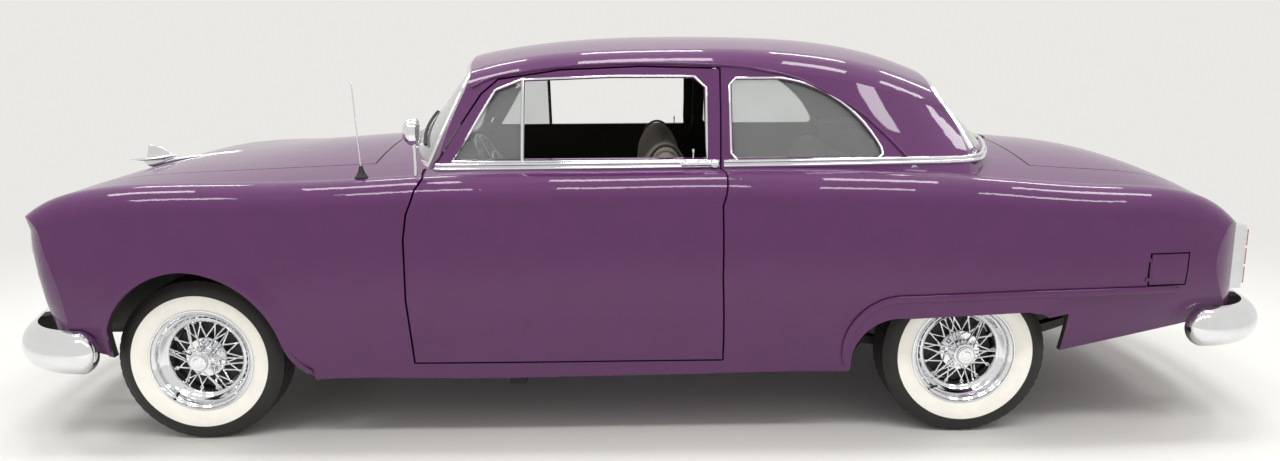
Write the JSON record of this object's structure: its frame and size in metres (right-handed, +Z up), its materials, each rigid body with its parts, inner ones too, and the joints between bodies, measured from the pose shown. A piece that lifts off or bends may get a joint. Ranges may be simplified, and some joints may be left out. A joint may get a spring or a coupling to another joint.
{
  "type": "two-door club sedan",
  "caption": "Full-size two-door club sedan of about 1950 with rounded fenders, wire wheels, chrome bumpers, opening doors, hood, trunk lid and fuel door, turning and steering wheels.",
  "frame": {"origin": "on the road under the middle of the overall length and width", "axes": "+X to the rear of the car, +Y to its right side, +Z up"},
  "size_m": [5.319, 2.0004, 1.6101],
  "materials": {
    "plum_paint": "gloss",
    "window_glass": "clear",
    "floor_paint": "satin",
    "headlamp_lens": "fluted",
    "tail_lamp_lens": "gloss",
    "bright_chrome": "polished",
    "chassis_black": "satin",
    "engine_iron": "as cast",
    "exhaust_steel": "dull",
    "seat_cloth": "woven",
    "dash_paint": "satin",
    "wheel_plastic": "gloss",
    "tyre_rubber": "matte"
  },
  "bodies": {
    "body": {"roof_panel": "plum_paint", "body_glass": "window_glass", "floor_and_sills": "floor_paint", "cowl": "plum_paint", "front_fender_left": "plum_paint", "front_fender_right": "plum_paint", "quarter_panel_left": "plum_paint", "quarter_panel_right": "plum_paint", "rear_floor": "floor_paint", "headlamps": "headlamp_lens", "tail_lamps": "tail_lamp_lens", "front_bumper": "bright_chrome", "rear_bumper": "bright_chrome", "grille": "bright_chrome", "chassis_frame": "chassis_black", "engine_and_shaft": "engine_iron", "rear_axle_and_springs": "chassis_black", "front_suspension": "chassis_black", "exhaust": "exhaust_steel", "fuel_tank": "chassis_black", "front_seat": "seat_cloth", "rear_seat": "seat_cloth", "dashboard": "dash_paint", "door_mirror": "bright_chrome", "antenna": "bright_chrome"},
    "door_left": {"door_left": "plum_paint", "vent_window_left": "window_glass"},
    "door_right": {"door_right": "plum_paint", "vent_window_right": "window_glass"},
    "hood": {"hood": "plum_paint", "hood_ornament": "bright_chrome"},
    "trunk_lid": {"trunk_lid": "plum_paint"},
    "fuel_door": {"fuel_door": "plum_paint"},
    "knuckle_left": {"knuckle_left": "chassis_black"},
    "knuckle_right": {"knuckle_right": "chassis_black"},
    "wheel_front_left": {"tyre_front_left": "tyre_rubber", "wheel_front_left": "bright_chrome"},
    "wheel_front_right": {"tyre_front_right": "tyre_rubber", "wheel_front_right": "bright_chrome"},
    "wheel_rear_left": {"tyre_rear_left": "tyre_rubber", "wheel_rear_left": "bright_chrome"},
    "wheel_rear_right": {"tyre_rear_right": "tyre_rubber", "wheel_rear_right": "bright_chrome"},
    "steering_wheel": {"steering_wheel": "wheel_plastic"}
  },
  "joints": [
    {"name": "door_left_hinge", "type": "hinge", "parent": "body", "child": "door_left", "pos_m": [-0.8295, -0.96, 0.7], "axis": [0, 0, -1], "range_deg": [0, 65]},
    {"name": "door_right_hinge", "type": "hinge", "parent": "body", "child": "door_right", "pos_m": [-0.8295, 0.96, 0.7], "axis": [0, 0, 1], "range_deg": [0, 65]},
    {"name": "hood_hinge", "type": "hinge", "parent": "body", "child": "hood", "pos_m": [-1.0795, 0, 1.158], "axis": [0, 1, 0], "range_deg": [0, 45]},
    {"name": "trunk_lid_hinge", "type": "hinge", "parent": "body", "child": "trunk_lid", "pos_m": [1.6195, 0, 1.138], "axis": [0, -1, 0], "range_deg": [0, 65]},
    {"name": "fuel_door_hinge", "type": "hinge", "parent": "body", "child": "fuel_door", "pos_m": [1.9985, -0.964, 0.706], "axis": [0, 0, -1], "range_deg": [0, 95]},
    {"name": "steer_left", "type": "hinge", "parent": "body", "child": "knuckle_left", "pos_m": [-1.7795, -0.69, 0.336], "axis": [0, 0, 1], "range_deg": [-30, 30]},
    {"name": "steer_right", "type": "hinge", "parent": "body", "child": "knuckle_right", "pos_m": [-1.7795, 0.69, 0.336], "axis": [0, 0, 1], "range_deg": [-30, 30]},
    {"name": "steering_wheel_turn", "type": "hinge", "parent": "body", "child": "steering_wheel", "pos_m": [-0.6145, -0.38, 0.99], "axis": [0.8818, 0, 0.4717], "range_deg": [-540, 540]},
    {"name": "spin_front_left", "type": "hinge", "parent": "knuckle_left", "child": "wheel_front_left", "pos_m": [-1.7795, -0.762, 0.336], "axis": [0, 1, 0], "continuous": true},
    {"name": "spin_front_right", "type": "hinge", "parent": "knuckle_right", "child": "wheel_front_right", "pos_m": [-1.7795, 0.762, 0.336], "axis": [0, 1, 0], "continuous": true},
    {"name": "spin_rear_left", "type": "hinge", "parent": "body", "child": "wheel_rear_left", "pos_m": [1.3195, -0.771, 0.336], "axis": [0, 1, 0], "continuous": true},
    {"name": "spin_rear_right", "type": "hinge", "parent": "body", "child": "wheel_rear_right", "pos_m": [1.3195, 0.771, 0.336], "axis": [0, 1, 0], "continuous": true}
  ],
  "couplings": [
    {"joint": "steer_right", "follows": "steer_left", "ratio": 1},
    {"joint": "steering_wheel_turn", "follows": "steer_left", "ratio": 18}
  ]
}
